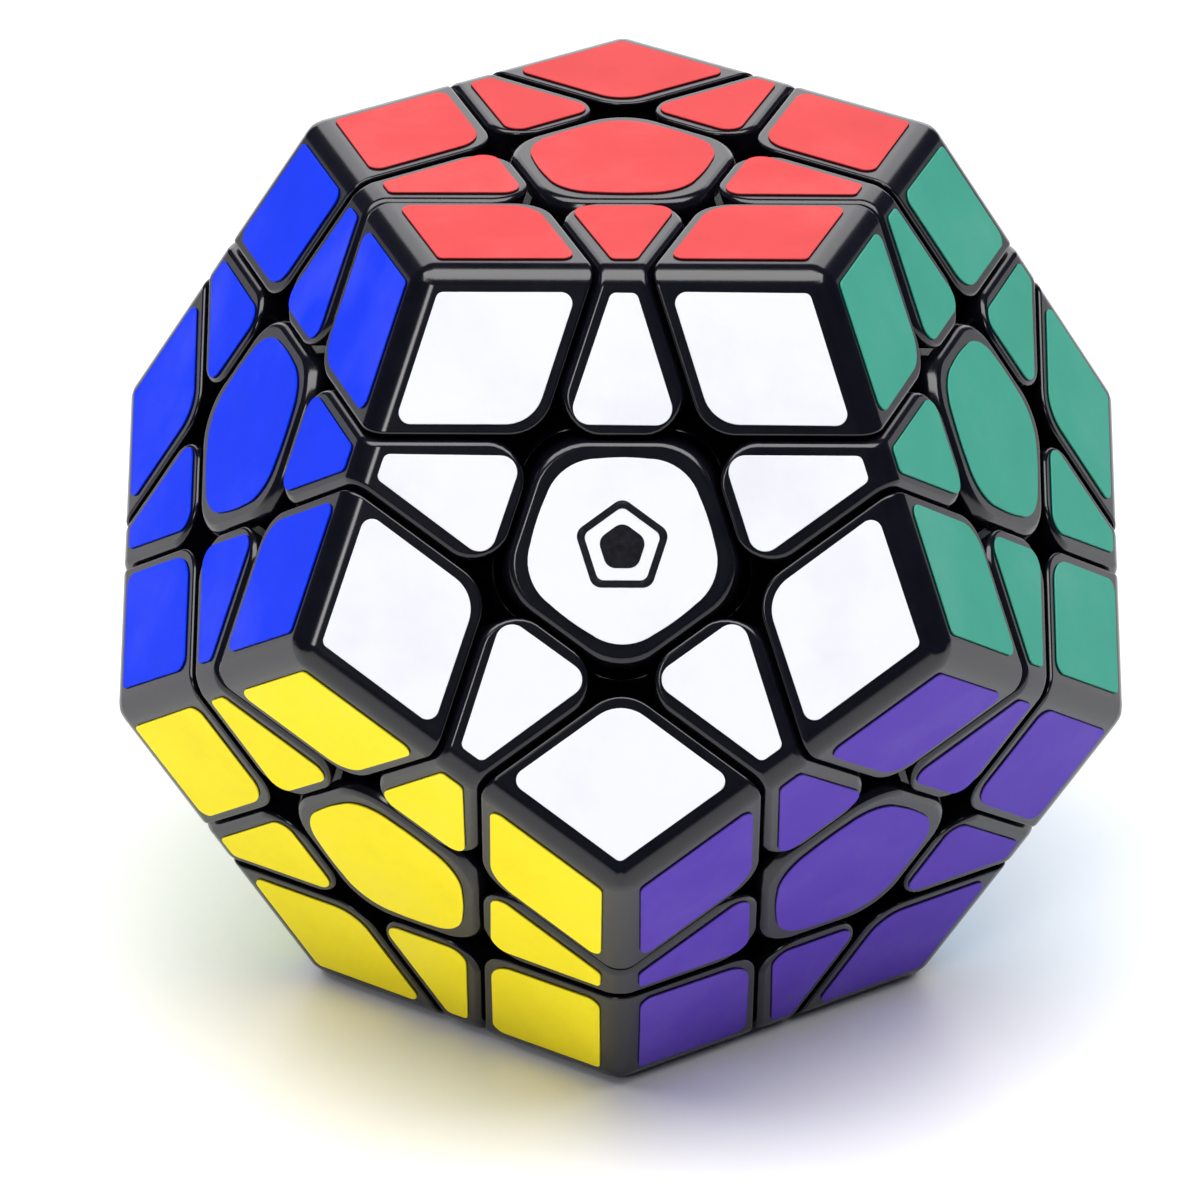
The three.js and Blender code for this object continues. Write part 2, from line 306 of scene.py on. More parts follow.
def convex_solid(planes: Sequence[Plane]) -> Solid:
    """The convex solid inside a set of planes.

    Args:
        planes: Half spaces that together close a solid.

    Returns:
        Its mesh, with one flat polygon for each plane that shows.
    """
    normals = np.array([p.normal for p in planes], float)
    normals /= np.linalg.norm(normals, axis=1, keepdims=True)
    distances = np.array([p.distance for p in planes], float)
    trios = np.array(list(itertools.combinations(range(len(planes)), 3)))
    sides = normals[trios]
    steep = np.abs(np.linalg.det(sides)) > PARALLEL
    points = np.linalg.solve(sides[steep], distances[trios[steep]][..., None])[..., 0]
    points = points[np.all(points @ normals.T <= distances + ON_PLANE, axis=1)]
    _, first = np.unique(np.round(points / ONE_POINT), axis=0, return_index=True)
    points = points[first]
    solid = bmesh.new()
    corners = [solid.verts.new(p) for p in points]
    for normal, distance in zip(normals, distances):
        on = [i for i, p in enumerate(points) if abs(p @ normal - distance) < ONE_POINT]
        if len(on) < 3:
            continue
        middle = points[on].mean(axis=0)
        x = points[on[0]] - middle
        y = np.cross(normal, x)
        on.sort(key=lambda i: math.atan2((points[i] - middle) @ y, (points[i] - middle) @ x))
        solid.faces.new([corners[i] for i in on])
    solid.normal_update()
    return solid


def bevel(
    solid: Solid, edges: Iterable[bmesh.types.BMEdge], width: float, segments: int, wear: float
) -> None:
    """Rounds edges of a mesh and marks how much handling wears them.

    Args:
        solid: The mesh.
        edges: Its edges to round.
        width: How far from each edge the round starts.
        segments: Strips in the round.
        wear: From 0, untouched, to 1.
    """
    layer = solid.verts.layers.float.get("wear") or solid.verts.layers.float.new("wear")
    made = bmesh.ops.bevel(
        solid,
        geom=list(edges),
        offset=width,
        offset_type="OFFSET",
        segments=segments,
        profile=0.5,
        affect="EDGES",
        clamp_overlap=False,
        loop_slide=True,
        vmesh_method="ADJ",
    )
    for face in made["faces"]:
        for vert in face.verts:
            vert[layer] = max(vert[layer], wear)
    solid.normal_update()


def turned_profile(profile: Profile, steps: int) -> Solid:
    """A solid of revolution about Z.

    Args:
        profile: Its points, from the bottom of the axis to the top of it.
        steps: Segments round the axis.

    Returns:
        The closed mesh.
    """
    solid = bmesh.new()
    chain = [solid.verts.new((radius, 0, height)) for radius, height in profile]
    edges = [solid.edges.new(pair) for pair in zip(chain, chain[1:])]
    bmesh.ops.spin(
        solid,
        geom=[*chain, *edges],
        axis=(0, 0, 1),
        cent=(0, 0, 0),
        angle=math.tau,
        steps=steps,
        use_merge=True,
    )
    bmesh.ops.remove_doubles(solid, verts=solid.verts, dist=ONE_POINT)
    bmesh.ops.recalc_face_normals(solid, faces=solid.faces)
    return solid


def drill(radius: float, bottom: float, top: float, steps: int) -> Mesh:
    """A plain rod about the Z axis, as the solid that cuts a hole.

    Args:
        radius: Its radius.
        bottom: The height of its lower end.
        top: The height of its upper end.
        steps: Segments round it.

    Returns:
        Its mesh.
    """
    profile = [(0, bottom), (radius, bottom), (radius, top), (0, top)]
    return mesh_from(turned_profile(profile, steps), "drill")


def skin(solid: Solid, rows: Iterable[tuple[Loop, Loop]]) -> None:
    """Fills the strip of four-sided faces between each two closed rings of points.

    Args:
        solid: The mesh that the faces are added to.
        rows: The pairs of rings, which run the same way and have the same number of points.
    """
    for a, b in rows:
        for i in range(len(a)):
            j = (i + 1) % len(a)
            solid.faces.new((a[i], b[i], b[j], a[j]))


def ball(radius: float, subdivisions: int = 5) -> Mesh:
    """A fine ball about the puzzle's centre.

    Args:
        radius: Its radius.
        subdivisions: How often an icosahedron's sides are split in two for it.

    Returns:
        Its mesh.
    """
    solid = bmesh.new()
    bmesh.ops.create_icosphere(solid, subdivisions=subdivisions, radius=radius)
    return mesh_from(solid, "ball")


def mesh_from(solid: Solid, name: str) -> Mesh:
    """Turns a working mesh into a lasting one, with smooth shading.

    Args:
        solid: The working mesh, which is freed.
        name: The new mesh's name.

    Returns:
        The lasting mesh.
    """
    mesh = bpy.data.meshes.new(name)
    solid.to_mesh(mesh)
    solid.free()
    mesh.polygons.foreach_set("use_smooth", [True] * len(mesh.polygons))
    return mesh


def shaped(base: Mesh, tools: Sequence[tuple[Mesh, Step]]) -> Mesh:
    """Adds tools to a mesh or cuts it with them, one after another.

    Args:
        base: The mesh to start from.
        tools: (mesh, step) pairs.

    Returns:
        The result, as a new mesh.
    """
    scene = bpy.context.scene
    work = bpy.data.objects.new("work", base.copy())
    scene.collection.objects.link(work)
    helpers = []
    for mesh, step in tools:
        helper = bpy.data.objects.new("helper", mesh)
        scene.collection.objects.link(helper)
        helpers.append(helper)
        modifier = work.modifiers.new("cut", "BOOLEAN")
        modifier.solver = "MANIFOLD"  # the one that leaves no open edge here
        modifier.operation = step.value
        modifier.object = helper
    graph = bpy.context.evaluated_depsgraph_get()
    result = bpy.data.meshes.new_from_object(work.evaluated_get(graph))
    for thing in [work, *helpers]:
        bpy.data.objects.remove(thing)
    solid = bmesh.new()
    solid.from_mesh(result)
    bmesh.ops.dissolve_degenerate(solid, dist=SLIVER, edges=solid.edges)
    return mesh_from(solid, "joined")


def place(name: str, mesh: Mesh, where: Matrix, finish: Material, body: str) -> Piece:
    """Makes a piece from its home copy, with its place in its vertices, and lets it ride on its body.

    Args:
        name: The piece's name.
        mesh: The home copy.
        where: The move from home to its place.
        finish: Its material.
        body: The CAD body that it rides on.

    Returns:
        The new object.
    """
    own = mesh.copy()
    own.name = name
    own.transform(where)
    own.materials.clear()
    own.materials.append(finish)
    piece = bpy.data.objects.new(name, own)
    bpy.context.scene.collection.objects.link(piece)
    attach(piece, body)
    return piece


def even_shading(piece: Piece) -> Piece:
    """Keeps flats flat and lets only the rounds between them bend the light.

    Args:
        piece: The piece to shade so.

    Returns:
        The same piece.
    """
    modifier = piece.modifiers.new("even shading", "WEIGHTED_NORMAL")
    modifier.mode = "FACE_AREA"
    modifier.weight = 90
    modifier.keep_sharp = False
    return piece


# ---- Finishes ----


class Nodes:
    """A material's node tree, with short ways to add to it."""

    def __init__(self, name: str) -> None:
        """Starts a material with one Principled shader.

        Args:
            name: The material's name.
        """
        self.material = bpy.data.materials.new(name)
        self.material.use_nodes = True
        self.tree = self.material.node_tree
        self.shader = self.tree.nodes["Principled BSDF"]
        self.place = self.add("ShaderNodeTexCoord").outputs["Object"]

    def add(self, kind: str, **settings: object) -> bpy.types.Node:
        """Adds a node and sets its properties.

        Args:
            kind: Blender's name for the kind of node.
            settings: The properties.

        Returns:
            The new node.
        """
        node = self.tree.nodes.new(kind)
        for key, value in settings.items():
            setattr(node, key, value)
        return node

    def link(self, out: Socket, into: Socket) -> None:
        """Joins two sockets."""
        self.tree.links.new(out, into)

    def stretched(self, scale: Triple, turn: Triple) -> Socket:
        """The place on the piece, turned and scaled.

        Args:
            scale: Along each axis.
            turn: About each axis, in radians.

        Returns:
            The socket that gives it.
        """
        mapping = self.add("ShaderNodeMapping")
        mapping.inputs["Scale"].default_value = scale
        mapping.inputs["Rotation"].default_value = turn
        self.link(self.place, mapping.inputs["Vector"])
        return mapping.outputs["Vector"]

    def noise(
        self, scale: float, detail: float = 4, rough: float = 0.5, at: Socket | None = None
    ) -> Socket:
        """Fractal noise over the piece.

        Args:
            scale: Features to the metre.
            detail: Octaves.
            rough: How strong the fine octaves are.
            at: Where it is read, if not at the plain place on the piece.

        Returns:
            The socket that gives it, from 0 to 1.
        """
        node = self.add("ShaderNodeTexNoise")
        node.inputs["Scale"].default_value = scale
        node.inputs["Detail"].default_value = detail
        node.inputs["Roughness"].default_value = rough
        self.link(at or self.place, node.inputs["Vector"])
        return node.outputs["Fac"]

    def ramp(self, fac: Socket, stops: Sequence[tuple[float, Sequence[float]]]) -> Socket:
        """A colour from a number.

        Args:
            fac: The number.
            stops: (position, colour) pairs.

        Returns:
            The colour's socket.
        """
        node = self.add("ShaderNodeValToRGB")
        elements = node.color_ramp.elements
        while len(elements) < len(stops):
            elements.new(0.5)
        for element, (position, colour) in zip(elements, stops):
            element.position = position
            element.color = (*colour, 1)
        self.link(fac, node.inputs["Fac"])
        return node.outputs["Color"]

    def between(self, fac: Socket, low: float, high: float) -> Socket:
        """Maps a number from 0 to 1 onto a range.

        Args:
            fac: The number.
            low: What 0 becomes.
            high: What 1 becomes.

        Returns:
            The socket that gives it.
        """
        node = self.add("ShaderNodeMapRange")
        node.inputs["To Min"].default_value = low
        node.inputs["To Max"].default_value = high
        self.link(fac, node.inputs["Value"])
        return node.outputs["Result"]

    def mixed(self, fac: Socket, a: Socket, b: Sequence[float]) -> Socket:
        """A colour socket mixed with a plain colour.

        Args:
            fac: How much of the plain colour.
            a: The colour's socket.
            b: The plain colour.

        Returns:
            The mixed colour's socket.
        """
        node = self.add("ShaderNodeMix", data_type="RGBA")
        self.link(fac, node.inputs["Factor"])
        self.link(a, node.inputs["A"])
        node.inputs["B"].default_value = (*b, 1)
        return node.outputs["Result"]

    def added(self, a: Socket, b: Socket, share: float) -> Socket:
        """One number plus a share of another.

        Args:
            a: The first number.
            b: The second.
            share: How much of the second is added.

        Returns:
            The sum's socket.
        """
        node = self.add("ShaderNodeMath", operation="MULTIPLY_ADD")
        self.link(b, node.inputs[0])
        node.inputs[1].default_value = share
        self.link(a, node.inputs[2])
        return node.outputs[0]

    def bump(self, height: Socket, depth: float, strength: float) -> None:
        """Roughens the surface.

        Args:
            height: From 0 to 1.
            depth: What a height of 1 means, in metres.
            strength: How much of it shows.
        """
        node = self.add("ShaderNodeBump")
        node.inputs["Strength"].default_value = strength
        node.inputs["Distance"].default_value = depth
        self.link(height, node.inputs["Height"])
        self.link(node.outputs["Normal"], self.shader.inputs["Normal"])


@dataclass(frozen=True)
class MouldedPlastic:
    """Black moulded plastic: a faint spark-eroded grain, hair scratches, and rims polished by handling."""

    name: str
    dark: Colour
    light: Colour
    worn: Colour
    smooth: float
    rough: float
    cloud_scale: float = 140
    wear_scale: float = 420
    smear_scale: float = 260
    grain_scale: float = 9000
    grain_depth: float = 0.004 * MM
    grain_strength: float = 0.35
    hair_scale: float = 700
    hair_stretch: Triple = (1, 14, 3)
    hair_turn: Triple = (0.4, 0.9, 0.3)
    hair_share: float = 0.7
    bending: float = 1.5  # of light

    def material(self) -> Material:
        """Makes the material.

        Returns:
            The new material.
        """
        nodes = Nodes(self.name)
        cloud = nodes.noise(self.cloud_scale, detail=3)
        tone = nodes.ramp(cloud, [(0.3, self.dark), (0.75, self.light)])
        wear = nodes.add("ShaderNodeAttribute", attribute_name="wear").outputs["Fac"]
        patchy = nodes.add("ShaderNodeMath", operation="MULTIPLY")
        nodes.link(wear, patchy.inputs[0])
        rubbed = nodes.noise(self.wear_scale, detail=5, rough=0.65)
        nodes.link(nodes.between(rubbed, -0.35, 1.0), patchy.inputs[1])
        patchy.use_clamp = True
        colour = nodes.mixed(patchy.outputs[0], tone, self.worn)
        nodes.link(colour, nodes.shader.inputs["Base Color"])
        smear = nodes.noise(self.smear_scale, detail=6, rough=0.6)
        nodes.link(nodes.between(smear, self.smooth, self.rough), nodes.shader.inputs["Roughness"])
        grain = nodes.noise(self.grain_scale, detail=2)
        along = nodes.stretched(self.hair_stretch, self.hair_turn)
        hairs = nodes.noise(self.hair_scale, detail=2, at=along)
        surface = nodes.added(grain, hairs, self.hair_share)
        nodes.bump(surface, self.grain_depth, self.grain_strength)
        nodes.shader.inputs["IOR"].default_value = self.bending
        return nodes.material


@dataclass(frozen=True)
class Vinyl:
    """A sticker's vinyl: an even colour with a faint cast, a satin face and a slight orange peel."""

    name: str
    colour: Colour
    roughness: float = 0.4
    smoother: float = 0.07  # how far the roughness strays down
    rougher: float = 0.09  # and up
    sheen: float = 0.05
    bending: float = 1.46  # of light
    cast_scale: float = 90
    smear_scale: float = 300
    peel_scale: float = 1400
    peel_depth: float = 0.006 * MM
    peel_strength: float = 0.3
    fibre_scale: float = 2600
    fibre_stretch: Triple = (1, 5, 1)
    fibre_turn: Triple = (0, 0, 0.5)
    fibre_share: float = 0.35

    def material(self) -> Material:
        """Makes the material.

        Returns:
            The new material.
        """
        nodes = Nodes(self.name)
        deeper = tuple(0.93 * c for c in self.colour)
        lighter = tuple(c + 0.03 * (1 - c) for c in self.colour)
        cast = nodes.noise(self.cast_scale, detail=5, rough=0.6)
        tone = nodes.ramp(cast, [(0.3, deeper), (0.5, self.colour), (0.75, lighter)])
        nodes.link(tone, nodes.shader.inputs["Base Color"])
        smear = nodes.noise(self.smear_scale, detail=5, rough=0.6)
        low, high = self.roughness - self.smoother, self.roughness + self.rougher
        nodes.link(nodes.between(smear, low, high), nodes.shader.inputs["Roughness"])
        peel = nodes.noise(self.peel_scale, detail=3)
        along = nodes.stretched(self.fibre_stretch, self.fibre_turn)
        fibre = nodes.noise(self.fibre_scale, detail=1, at=along)
        surface = nodes.added(peel, fibre, self.fibre_share)
        nodes.bump(surface, self.peel_depth, self.peel_strength)
        nodes.shader.inputs["IOR"].default_value = self.bending
        nodes.shader.inputs["Specular IOR Level"].default_value = self.sheen
        return nodes.material


@dataclass(frozen=True)
class Steel:
    """Bright plated steel with fine drawing marks round it."""

    name: str
    colour: Colour = (0.62, 0.63, 0.65)
    roughness: float = 0.24
    smoother: float = 0.08  # how far the roughness strays down
    rougher: float = 0.12  # and up
    stain_scale: float = 500
    smear_scale: float = 1200
    mark_scale: float = 5000
    mark_stretch: Triple = (1, 1, 8)
    mark_depth: float = 0.003 * MM
    mark_strength: float = 0.3

    def material(self) -> Material:
        """Makes the material.

        Returns:
            The new material.
        """
        nodes = Nodes(self.name)
        stain = nodes.noise(self.stain_scale, detail=5)
        dull = tuple(0.8 * c for c in self.colour)
        tone = nodes.ramp(stain, [(0.3, dull), (0.7, self.colour)])
        nodes.link(tone, nodes.shader.inputs["Base Color"])
        low, high = self.roughness - self.smoother, self.roughness + self.rougher
        smear = nodes.between(nodes.noise(self.smear_scale), low, high)
        nodes.link(smear, nodes.shader.inputs["Roughness"])
        along = nodes.stretched(self.mark_stretch, (0, 0, 0))
        marks = nodes.noise(self.mark_scale, detail=2, at=along)
        nodes.bump(marks, self.mark_depth, self.mark_strength)
        nodes.shader.inputs["Metallic"].default_value = 1
        return nodes.material


@dataclass(frozen=True)
class Ink:
    """Dark printing ink on a sticker."""

    name: str = "printing_ink"
    colour: Colour = (0.004, 0.004, 0.006)
    smooth: float = 0.45
    rough: float = 0.6
    sheen: float = 0.1
    cover_scale: float = 2200
    smear_scale: float = 900

    def material(self) -> Material:
        """Makes the material.

        Returns:
            The new material.
        """
        nodes = Nodes(self.name)
        thin = tuple(3 * c for c in self.colour)
        cover = nodes.noise(self.cover_scale, detail=4)
        tone = nodes.ramp(cover, [(0.35, self.colour), (0.8, thin)])
        nodes.link(tone, nodes.shader.inputs["Base Color"])
        smear = nodes.between(nodes.noise(self.smear_scale), self.smooth, self.rough)
        nodes.link(smear, nodes.shader.inputs["Roughness"])
        nodes.shader.inputs["Specular IOR Level"].default_value = self.sheen
        return nodes.material


@dataclass(frozen=True)
class Palette:
    """Every finish of the puzzle."""

    shell: Material
    works: Material
    steel: Material
    ink: Material
    vinyl: dict[str, Material]

    @classmethod
    def mixed_for(cls, colours: dict[str, Colour]) -> "Palette":
        """Mixes the finishes.

        Args:
            colours: Each sticker colour, under its name.

        Returns:
            The palette.
        """
        shell = MouldedPlastic(
            "black_shell_plastic",
            dark=(0.001, 0.001, 0.003),
            light=(0.002, 0.002, 0.0045),
            worn=(0.006, 0.006, 0.008),
            smooth=0.13,
            rough=0.21,
        )
        works = MouldedPlastic(
            "core_plastic",
            dark=(0.014, 0.014, 0.017),
            light=(0.024, 0.024, 0.028),
            worn=(0.04, 0.04, 0.045),
            smooth=0.4,
            rough=0.55,
        )
        vinyl = {name: Vinyl(f"vinyl_{name}", colour).material() for name, colour in colours.items()}
        return cls(
            shell=shell.material(),
            works=works.material(),
            steel=Steel("spring_steel").material(),
            ink=Ink().material(),
            vinyl=vinyl,
        )


STICKER_COLOURS = {
    "white": (0.72, 0.726, 0.756),
    "red": (0.54, 0.045, 0.046),
    "green": (0.051, 0.332, 0.24),
    "cream": (0.8, 0.66, 0.42),
    "pink": (0.8, 0.16, 0.38),
    "blue": (0.001, 0.033, 0.775),
    "purple": (0.109, 0.053, 0.44),
    "sky": (0.16, 0.52, 0.82),
    "grey": (0.3, 0.31, 0.33),
    "lime": (0.46, 0.68, 0.05),
    "yellow": (1.0, 0.835, 0.021),
    "orange": (0.95, 0.2, 0.01),
}


# ---- The mouldings ----


@dataclass
class Works:
    """The hidden half of every piece: necks and feet, cut by the surfaces that the layers turn on."""

    cuts: Cuts
    steps: int = 75  # round a layer's surface
    overrun: float = 1 * MM
    recess: float = 0.05 * MM  # from a neck's sides to its shell's hidden sides, so that they never coincide
    neck_spare: float = 0.05 * MM  # how far a neck runs on inside its shell
    footing_subdivisions: int = 4  # of the ball that the feet run on

    def layer(self, face: str, margin: float) -> Mesh:
        """Everything in a layer, moved out by a margin: its cones, and all above its flat cut.

        Args:
            face: The face that the layer turns with.
            margin: Negative for the pieces in the layer, positive to cut its neighbours.

        Returns:
            The solid, about the puzzle's centre.
        """
        flat = self.cuts.distance - margin
        reach = 2 * self.cuts.solid.face_distance
        above = [self.on_neck_cone(flat, margin), (reach, flat), (reach, reach), (0, reach)]
        return self.turned(face, self.funnel(margin) + above)

    def cones(self, face: str) -> Mesh:
        """Only the cones of a layer, carried on a little past its flat cut, to cut its neighbours' shells.

        Args:
            face: The face that the layer turns with.

        Returns:
            The solid, about the puzzle's centre.
        """
        margin = self.cuts.gap / 2 + self.recess
        top = self.cuts.distance + self.overrun
        return self.turned(face, [*self.funnel(margin), self.on_neck_cone(top, margin), (0, top)])

    def turned(self, face: str, profile: Profile) -> Mesh:
        """A solid of revolution about a face's axis.

        Args:
            face: The face.
            profile: Its points, from the bottom of the axis to the top of it.

        Returns:
            The solid, about the puzzle's centre.
        """
        mesh = mesh_from(turned_profile(profile, self.steps), "layer")
        mesh.transform(self.cuts.solid.upright(face))
        return mesh

    def funnel(self, margin: float) -> list[tuple[float, float]]:
        """The start of a layer's profile: its tip, and both ends of the step between feet and necks.

        Args:
            margin: How far the layer is moved out.

        Returns:
            Three (radius, height) points.
        """
        cuts = self.cuts
        step_angle = (cuts.foot_cone + cuts.neck_cone) / 2
        footing = cuts.foot_top + margin
        tip = (0.0, -margin / math.sin(cuts.foot_cone))
        cones = (cuts.foot_cone, cuts.neck_cone)
        return [tip, *(self.meeting(cone, margin, step_angle, footing) for cone in cones)]

    def on_neck_cone(self, height: float, margin: float) -> tuple[float, float]:
        """The point of a layer's narrow cone, moved out by a margin, at a height."""
        cone = self.cuts.neck_cone
        return height * math.tan(cone) + margin / math.cos(cone), height

    @staticmethod
    def meeting(cone: float, margin: float, step_angle: float, footing: float) -> tuple[float, float]:
        """Where a cone, moved out by a margin, meets the step between feet and necks.

        Args:
            cone: The cone's half angle.
            margin: How far the cone is moved out.
            step_angle: The angle from the axis at which the step is square to the radius.
            footing: The step's distance from the centre.

        Returns:
            Its (radius, height).
        """
        start = (margin * math.cos(cone), -margin * math.sin(cone))
        square = (math.sin(step_angle), math.cos(step_angle))
        along = (footing - start[0] * square[0] - start[1] * square[1]) / math.cos(cone - step_angle)
        return start[0] + along * math.sin(cone), start[1] + along * math.cos(cone)

    def neck_and_foot(self, inside: Sequence[str], outside: Sequence[str]) -> Mesh:
        """The part of a piece between the core and its shell.

        Args:
            inside: The faces whose layers the piece is in.
            outside: The neighbouring faces whose layers cut it.

        Returns:
            The solid, about the puzzle's centre.
        """
        cuts = self.cuts
        tools = [(self.layer(face, -cuts.gap / 2), Step.KEEP) for face in inside]
        tools += [(self.layer(face, cuts.gap / 2), Step.TAKE) for face in outside]
        tools.append((ball(cuts.foot_bottom, self.footing_subdivisions), Step.TAKE))
        return shaped(ball(cuts.neck_top + self.neck_spare), tools)


@dataclass
class Shell:
    """The outer, moulded part of a piece, cut from the dodecahedron by flat cuts."""

    cuts: Cuts
    works: Works
    edge_radius: float = 2.2 * MM  # along the dodecahedron's edges
    edge_strips: int = 9
    rim_width: float = 0.4 * MM  # beside the gaps
    rim_strips: int = 4
    plan_strips: int = 8
    corner_plan_radius: float = 3.9 * MM
    wedge_plan_radius: float = 2.3 * MM
    centre_plan_radius: float = 5.1 * MM
    ridge_radius: float = 1.2 * MM
    ridge_strips: int = 3
    lip_width: float = 0.3 * MM  # of the round at a centre base's top
    lip_strips: int = 2
    hole_radius: float = 1.65 * MM  # for the screw
    hole_bottom: float = 5 * MM
    hole_steps: int = 32
    well_steps: int = 40
    drill_top: float = 40 * MM  # past the top of a centre base
    plug_radius: float = 3.2 * MM
    plug_depth: float = 1.6 * MM
    plug_wall: float = 0.9 * MM
    plug_hollow: float = 0.5 * MM
    plug_chamfer: float = 0.3 * MM
    plug_steps: int = 40

    SHOWING = 0.7  # a face shows if its normal's length along the piece's axis is more than this
    SAME_WAY = 0.99999  # two unit vectors whose product is more than this point the same way
    RIDGE_WEAR = 0.7
    RIM_WEAR = 1.0
    LIP_WEAR = 0.3

    def moulding(
        self, outer: Sequence[Plane], walls: Sequence[Plane], rounds: Sequence[Plane], axis: Vector
    ) -> Solid:
        """The shell of one piece, with its rounds.

        Args:
            outer: The planes of the dodecahedron's faces.
            walls: The planes of the cuts.
            rounds: The planes of the rounds between walls.
            axis: The piece's outward axis.

        Returns:
            The mesh, about the puzzle's centre.
        """
        solid = convex_solid([*outer, *walls, *rounds])
        ridges = [e for e in solid.edges if all(self.lies_on(f, outer) for f in e.link_faces)]
        width = self.edge_radius / math.tan((math.pi - self.cuts.solid.FACE_ANGLE) / 2)
        bevel(solid, ridges, width, self.edge_strips, self.RIDGE_WEAR)
        rims = [e for e in solid.edges if len({f.normal.dot(axis) > self.SHOWING for f in e.link_faces}) == 2]
        bevel(solid, rims, self.rim_width, self.rim_strips, self.RIM_WEAR)
        return solid

    def lies_on(self, face: bmesh.types.BMFace, planes: Sequence[Plane]) -> bool:
        """Does a mesh's face lie on one of these planes?"""
        return any(face.normal.dot(p.normal) > self.SAME_WAY for p in planes)

    def corner(self) -> Mesh:
        """A corner piece at home, shell, neck and foot.

        Returns:
            Its mesh.
        """
        faces = list(self.cuts.solid.HOME)
        axis = sum((self.cuts.solid.axes[f] for f in faces), Vector()).normalized()
        outer = [self.cuts.outside(f) for f in faces]
        walls = [self.cuts.within(f) for f in faces]
        rounds = [
            plane
            for a, b in itertools.combinations(walls, 2)
            for plane in rounding(a, b, self.corner_plan_radius, self.plan_strips)
        ]
        shell = mesh_from(self.moulding(outer, walls, rounds, axis), "corner_shell")
        return shaped(shell, [(self.works.neck_and_foot(faces, []), Step.ADD)])

    def edge(self) -> Mesh:
        """An edge piece at home, shell, neck and foot.

        Returns:
            Its mesh.
        """
        solid = self.cuts.solid
        faces = list(solid.HOME[:2])
        ends = [f for f in solid.axes if all(f in solid.neighbours(face) for face in faces)]
        axis = (solid.axes[faces[0]] + solid.axes[faces[1]]).normalized()
        outer = [self.cuts.outside(f) for f in faces]
        own = [self.cuts.within(f) for f in faces]
        sides = [self.cuts.beside(f) for f in ends]
        rounds = [
            plane
            for a, b in itertools.product(own, sides)
            for plane in rounding(a, b, self.wedge_plan_radius, self.plan_strips)
        ]
        rounds += rounding(own[0], own[1], self.ridge_radius, self.ridge_strips)
        shell = mesh_from(self.moulding(outer, [*own, *sides], rounds, axis), "edge_shell")
        tools = [(self.works.cones(end), Step.TAKE) for end in ends]
        return shaped(shell, [*tools, (self.works.neck_and_foot(faces, ends), Step.ADD)])

    def centre_walls(self) -> tuple[list[Plane], list[Plane]]:
        """The five walls of a centre at home, and the rounds between them.

        Returns:
            The walls and the rounds.
        """
        solid = self.cuts.solid
        around = solid.neighbours(solid.HOME[0])
        walls = [self.cuts.beside(f) for f in around]
        rounds = [
            plane
            for a, b in itertools.combinations(around, 2)
            if b in solid.neighbours(a)
            for plane in rounding(
                self.cuts.beside(a), self.cuts.beside(b), self.centre_plan_radius, self.plan_strips
            )
        ]
        return walls, rounds

    def centre_cap(self) -> Mesh:
        """The snap-on cap of a centre at home: a five-sided tile with a round plug under it.

        Returns:
            Its mesh.
        """
        cuts, face = self.cuts, self.cuts.solid.HOME[0]
        axis = cuts.solid.axes[face]
        walls, rounds = self.centre_walls()
        underside = Plane(-axis, -(cuts.solid.face_distance - cuts.cap_thickness))
        solid = self.moulding([cuts.outside(face)], [*walls, underside], rounds, axis)
        return shaped(mesh_from(solid, "tile"), [(self.plug(), Step.ADD)])

    def plug(self) -> Mesh:
        """The round plug under a cap at home, hollow at its end and bevelled where it enters its base.

        Returns:
            Its mesh, about the puzzle's centre.
        """
        underside = self.cuts.solid.face_distance - self.cuts.cap_thickness
        top = self.cuts.solid.face_distance - self.cuts.cap_thickness / 2
        low, rim, chamfer = underside - self.plug_depth, self.plug_radius, self.plug_chamfer
        bore, roof = rim - self.plug_wall, low + self.plug_hollow
        inside = [(0, roof), (bore, roof), (bore, low)]
        outside = [(rim - chamfer, low), (rim, low + chamfer), (rim, top), (0, top)]
        return mesh_from(turned_profile([*inside, *outside], self.plug_steps), "plug")

    def centre_base(self) -> Mesh:
        """A centre at home under its cap, with the well for its spring and the hole for its screw.

        Returns:
            Its mesh.
        """
        cuts, face = self.cuts, self.cuts.solid.HOME[0]
        axis = cuts.solid.axes[face]
        walls, rounds = self.centre_walls()
        top = Plane(axis, cuts.solid.face_distance - cuts.cap_thickness - cuts.cap_gap)
        own = cuts.within(face)
        bottom = Plane(own.normal, own.distance - self.works.recess)
        block = convex_solid([top, bottom, *walls, *rounds])
        lips = [e for e in block.edges if any(self.lies_on(f, [top]) for f in e.link_faces)]
        bevel(block, lips, self.lip_width, self.lip_strips, self.LIP_WEAR)
        around = cuts.solid.neighbours(face)
        tools = [(self.works.cones(other), Step.TAKE) for other in around]
        tools.append((self.works.neck_and_foot([face], around), Step.ADD))
        well = drill(cuts.well_radius, cuts.seat_top, self.drill_top, self.well_steps)
        hole = drill(self.hole_radius, self.hole_bottom, self.drill_top, self.hole_steps)
        tools += [(well, Step.TAKE), (hole, Step.TAKE)]
        return shaped(mesh_from(block, "block"), tools)


